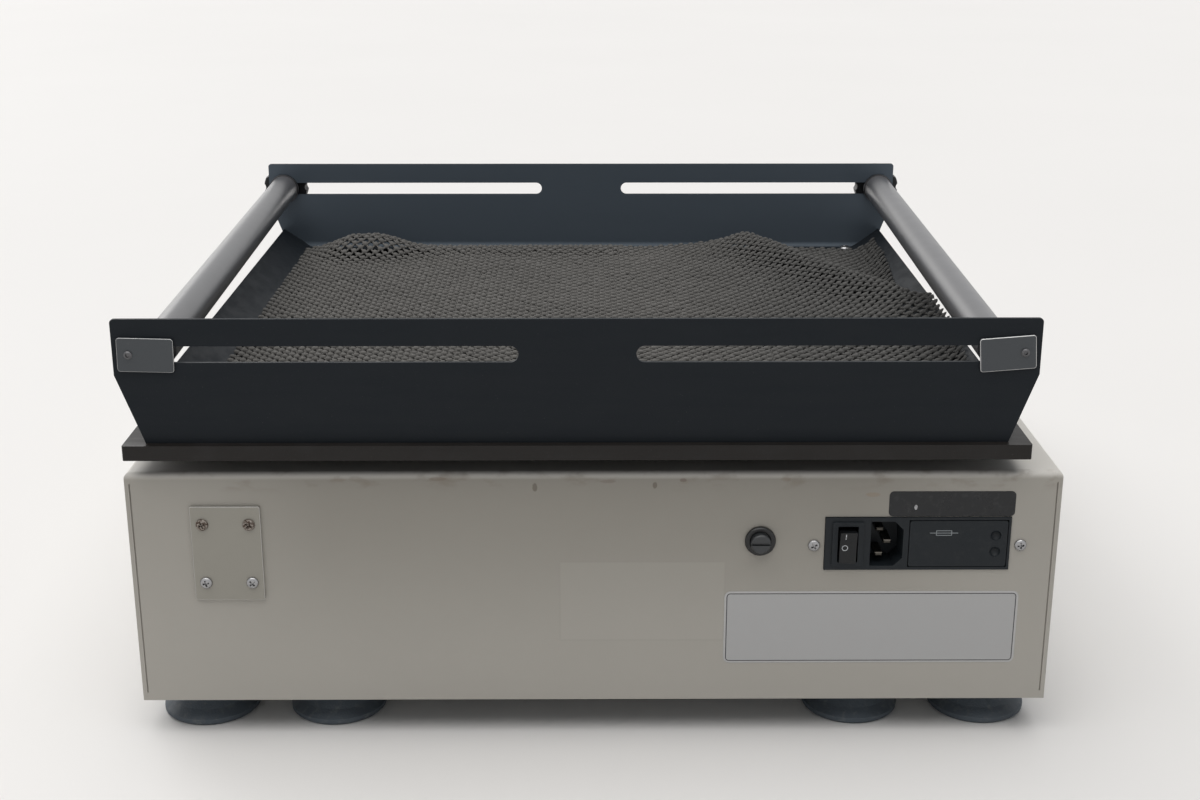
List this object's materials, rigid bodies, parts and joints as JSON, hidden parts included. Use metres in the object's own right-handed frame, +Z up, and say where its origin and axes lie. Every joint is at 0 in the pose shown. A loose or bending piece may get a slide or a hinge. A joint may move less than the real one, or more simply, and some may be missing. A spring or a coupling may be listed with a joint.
{
  "type": "platform shaker",
  "caption": "Bench-top orbital platform shaker with a slotted tray, movable grip bars, non-slip mat and a sloped control console.",
  "frame": {"origin": "bench top, under the middle of the shaker's footprint", "axes": "+Z up, +Y from the rear panel to the front console, +X to the right seen from behind"},
  "size_m": [0.4833, 0.6386, 0.2313],
  "materials": {
    "case_paint": "light grey-beige powder paint",
    "pan_steel": "zinc-plated sheet",
    "screw_steel": "bright plated screws",
    "foot_rubber": "dark blue-grey moulded rubber",
    "housing_iron": "painted casting",
    "bearing_steel": "ground steel",
    "shaft_steel": "turned steel",
    "weight_iron": "machined cast iron",
    "pulley_aluminium": "turned aluminium",
    "belt_rubber": "flat drive belt",
    "motor_paint": "black enamel",
    "bracket_steel": "grey painted sheet",
    "board_green": "solder-masked board",
    "spacer_plastic": "nylon",
    "core_steel": "varnished laminations",
    "plate_paint": "grey-beige paint",
    "module_plastic": "black moulded plastic",
    "rocker_plastic": "black gloss plastic",
    "blade_nickel": "nickel-plated brass",
    "fuse_plastic": "black phenolic",
    "fuse_glass": "clear glass with plated ends",
    "fascia_plastic": "textured polycarbonate overlay",
    "window_tint": "dark red filter",
    "key_plastic": "grey moulded plastic",
    "platform_paint": "dark brown-black paint, worn edge",
    "tray_paint": "near-black paint with a blue tint",
    "mat_foam": "black open-mesh foam",
    "rod_steel": "dark blackened steel",
    "sleeve_rubber": "smooth black sleeve",
    "keeper_steel": "brushed stainless steel",
    "knob_plastic": "black moulded plastic"
  },
  "bodies": {
    "base": {"case_cover": "case_paint", "base_plate": "pan_steel", "case_screws": "screw_steel", "feet": "foot_rubber", "foot_screws": "screw_steel", "drive_housing": "housing_iron", "drive_bolts": "screw_steel", "main_bearings": "bearing_steel", "idler_bearings": "bearing_steel", "drive_belt": "belt_rubber", "motor_bracket": "bracket_steel", "motor_body": "motor_paint", "control_board": "board_green", "board_standoffs": "spacer_plastic", "transformer": "core_steel", "port_cover_plate": "plate_paint", "port_cover_screws": "screw_steel", "power_entry_body": "module_plastic", "power_entry_screws": "screw_steel", "inlet_pins": "blade_nickel", "fuse_holder_body": "fuse_plastic", "control_fascia": "fascia_plastic", "display_window": "window_tint", "display_module": "board_green"},
    "drive_crank": {"main_crankshaft": "shaft_steel", "main_counterweight": "weight_iron", "drive_pulley": "pulley_aluminium"},
    "left_idler": {"left_idler_crank": "shaft_steel", "left_counterweight": "weight_iron"},
    "right_idler": {"right_idler_crank": "shaft_steel", "right_counterweight": "weight_iron"},
    "motor_shaft": {"motor_rotor": "shaft_steel", "motor_pulley": "pulley_aluminium"},
    "platform": {"platform_plate": "platform_paint", "platform_hubs": "pulley_aluminium", "platform_bearings": "bearing_steel", "platform_screws": "screw_steel", "tray": "tray_paint", "tray_screws": "screw_steel", "mat": "mat_foam"},
    "left_bar": {"left_bar_rod": "rod_steel", "left_bar_sleeve": "sleeve_rubber", "left_keeper_plate": "keeper_steel", "left_keeper_screw": "screw_steel"},
    "left_knob": {"left_clamp_knob": "knob_plastic"},
    "right_bar": {"right_bar_rod": "rod_steel", "right_bar_sleeve": "sleeve_rubber", "right_keeper_plate": "keeper_steel", "right_keeper_screw": "screw_steel"},
    "right_knob": {"right_clamp_knob": "knob_plastic"},
    "power_switch": {"power_rocker": "rocker_plastic"},
    "fuse_drawer": {"main_fuse_drawer": "module_plastic", "main_fuse": "fuse_glass"},
    "fuse_carrier": {"control_fuse": "fuse_glass"},
    "fuse_cap": {"fuse_holder_cap": "fuse_plastic"},
    "key_1_body": {"key_1": "key_plastic"},
    "key_2_body": {"key_2": "key_plastic"},
    "key_3_body": {"key_3": "key_plastic"},
    "key_4_body": {"key_4": "key_plastic"}
  },
  "joints": [
    {"name": "main_crank_spin", "type": "hinge", "parent": "base", "child": "drive_crank", "pos_m": [0, 0.0086, 0.07], "axis": [0, 0, 1], "continuous": true},
    {"name": "platform_on_crank", "type": "hinge", "parent": "drive_crank", "child": "platform", "pos_m": [-0.00833, -0.00098, 0.128], "axis": [0, 0, 1], "continuous": true},
    {"name": "left_idler_spin", "type": "hinge", "parent": "base", "child": "left_idler", "pos_m": [-0.11, -0.1464, 0.07], "axis": [0, 0, 1], "continuous": true},
    {"name": "right_idler_spin", "type": "hinge", "parent": "base", "child": "right_idler", "pos_m": [0.11, -0.1464, 0.07], "axis": [0, 0, 1], "continuous": true},
    {"name": "motor_spin", "type": "hinge", "parent": "base", "child": "motor_shaft", "pos_m": [-0.155, 0.0086, 0.07], "axis": [0, 0, 1], "continuous": true},
    {"name": "left_bar_slide", "type": "slide", "parent": "platform", "child": "left_bar", "axis": [1, 0, 0], "range_m": [0, 0.17]},
    {"name": "right_bar_slide", "type": "slide", "parent": "platform", "child": "right_bar", "axis": [-1, 0, 0], "range_m": [0, 0.17]},
    {"name": "left_knob_turn", "type": "hinge", "parent": "left_bar", "child": "left_knob", "pos_m": [-0.22773, 0.12662, 0.2132], "axis": [0, 1, 0], "range_deg": [0, 360]},
    {"name": "right_knob_turn", "type": "hinge", "parent": "right_bar", "child": "right_knob", "pos_m": [0.21107, 0.12662, 0.2132], "axis": [0, 1, 0], "range_deg": [0, 360]},
    {"name": "power_switch_rock", "type": "hinge", "parent": "base", "child": "power_switch", "pos_m": [0.131, -0.306, 0.1095], "axis": [-1, 0, 0], "range_deg": [0, 16]},
    {"name": "main_fuse_drawer_slide", "type": "slide", "parent": "base", "child": "fuse_drawer", "axis": [0, -1, 0], "range_m": [0, 0.025]},
    {"name": "control_fuse_pull", "type": "slide", "parent": "base", "child": "fuse_carrier", "axis": [0, -1, 0], "range_m": [0, 0.03]},
    {"name": "fuse_cap_turn", "type": "hinge", "parent": "fuse_carrier", "child": "fuse_cap", "pos_m": [0.0858, -0.31, 0.1112], "axis": [0, -1, 0], "range_deg": [0, 90]},
    {"name": "key_1_press", "type": "slide", "parent": "base", "child": "key_1_body", "axis": [0, -0.4342, -0.9008], "range_m": [0, 0.001], "stiffness_N_per_m": 300, "springref_m": -0.0005},
    {"name": "key_2_press", "type": "slide", "parent": "base", "child": "key_2_body", "axis": [0, -0.4342, -0.9008], "range_m": [0, 0.001], "stiffness_N_per_m": 300, "springref_m": -0.0005},
    {"name": "key_3_press", "type": "slide", "parent": "base", "child": "key_3_body", "axis": [0, -0.4342, -0.9008], "range_m": [0, 0.001], "stiffness_N_per_m": 300, "springref_m": -0.0005},
    {"name": "key_4_press", "type": "slide", "parent": "base", "child": "key_4_body", "axis": [0, -0.4342, -0.9008], "range_m": [0, 0.001], "stiffness_N_per_m": 300, "springref_m": -0.0005}
  ],
  "couplings": [
    {"joint": "platform_on_crank", "follows": "main_crank_spin", "ratio": -1},
    {"joint": "left_idler_spin", "follows": "main_crank_spin", "ratio": 1},
    {"joint": "right_idler_spin", "follows": "main_crank_spin", "ratio": 1},
    {"joint": "motor_spin", "follows": "main_crank_spin", "ratio": 5}
  ]
}
